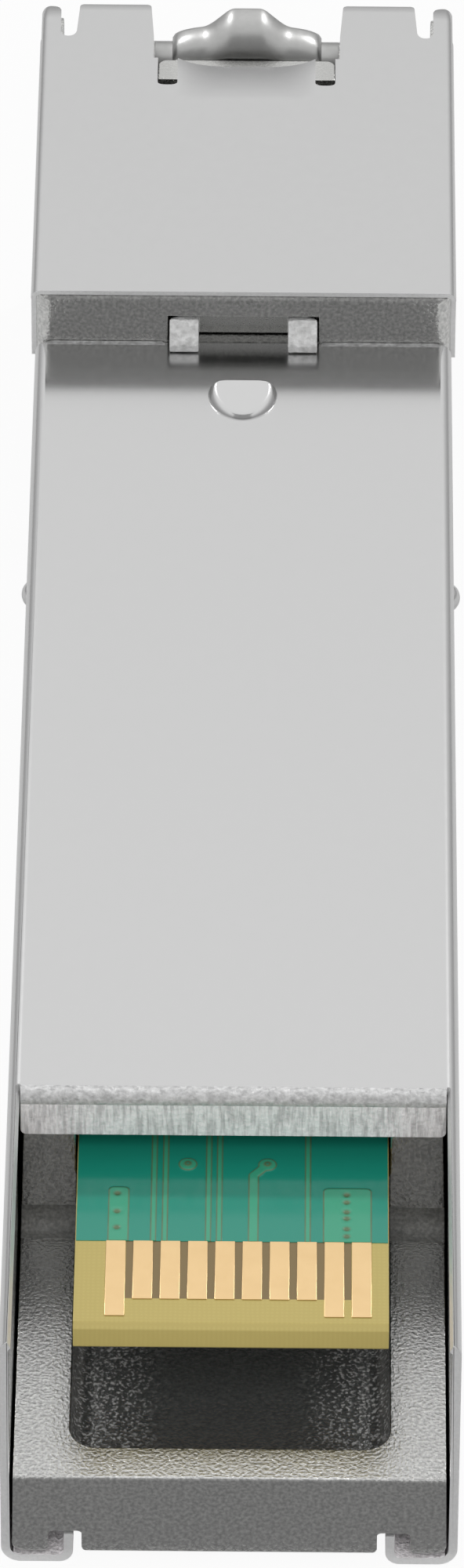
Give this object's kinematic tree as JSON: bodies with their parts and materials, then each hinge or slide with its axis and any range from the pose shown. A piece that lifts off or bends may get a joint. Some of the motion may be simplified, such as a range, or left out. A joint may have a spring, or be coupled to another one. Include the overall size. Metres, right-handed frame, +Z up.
{
  "type": "sfp transceiver",
  "caption": "Pluggable optical network module: die-cast nose with release handle, folded metal cover and a card edge connector at the rear.",
  "frame": {"origin": "on the surface that the module lies on, under the middle of its box", "axes": "+Y along the module towards the optical nose, +Z up, away from the module's top side, which it lies on; +X to the right seen from the edge connector"},
  "size_m": [0.0138, 0.0636, 0.0106],
  "materials": {
    "nickel_plated_zinc": "die cast, fine rough grain under bright plating",
    "bright_sheet_steel": "rolled bright, almost mirror smooth",
    "plated_steel": "bright plated",
    "turned_steel": "turned, satin",
    "zirconia": "ground white ceramic",
    "black_moulding": "moulded, satin",
    "glass_epoxy_board": "green solder mask over pale glass epoxy",
    "gold_contact": "plated, smooth",
    "amber_film": "polyimide film",
    "ferrite": "dark, matt",
    "tan_ceramic": "fired ceramic with tinned ends",
    "grey_silicone": "soft, matt"
  },
  "bodies": {
    "housing": {"base_housing": "nickel_plated_zinc", "subassembly_clamp": "nickel_plated_zinc", "shell_cover": "bright_sheet_steel", "nose_cover": "bright_sheet_steel", "pivot_pin": "plated_steel", "slider_spring": "plated_steel", "transmitter_subassembly": "turned_steel", "receiver_subassembly": "turned_steel", "alignment_sleeves": "zirconia", "lc_receptacle": "black_moulding", "circuit_board": "glass_epoxy_board", "contact_pads_lower": "gold_contact", "contact_pads_upper": "gold_contact", "transmitter_flex": "amber_film", "receiver_flex": "amber_film", "laser_driver_chip": "black_moulding", "amplifier_chip": "black_moulding", "controller_chip": "black_moulding", "memory_chip": "black_moulding", "power_inductors": "ferrite", "decoupling_capacitors": "tan_ceramic", "thermal_pad": "grey_silicone"},
    "bail": {"bail_handle": "nickel_plated_zinc"},
    "release_slider": {"slider": "plated_steel"}
  },
  "joints": [
    {"name": "bail_hinge", "type": "hinge", "parent": "housing", "child": "bail", "pos_m": [0, 0.03095, 0.00885], "axis": [1, 0, 0], "range_deg": [0, 90]},
    {"name": "slider_slide", "type": "slide", "parent": "housing", "child": "release_slider", "axis": [0, -1, 0], "range_m": [0, 0.00095], "deforming": ["slider_spring"]}
  ],
  "couplings": [
    {"joint": "bail_hinge", "follows": "slider_slide", "rad_per_m": 1653.5}
  ]
}
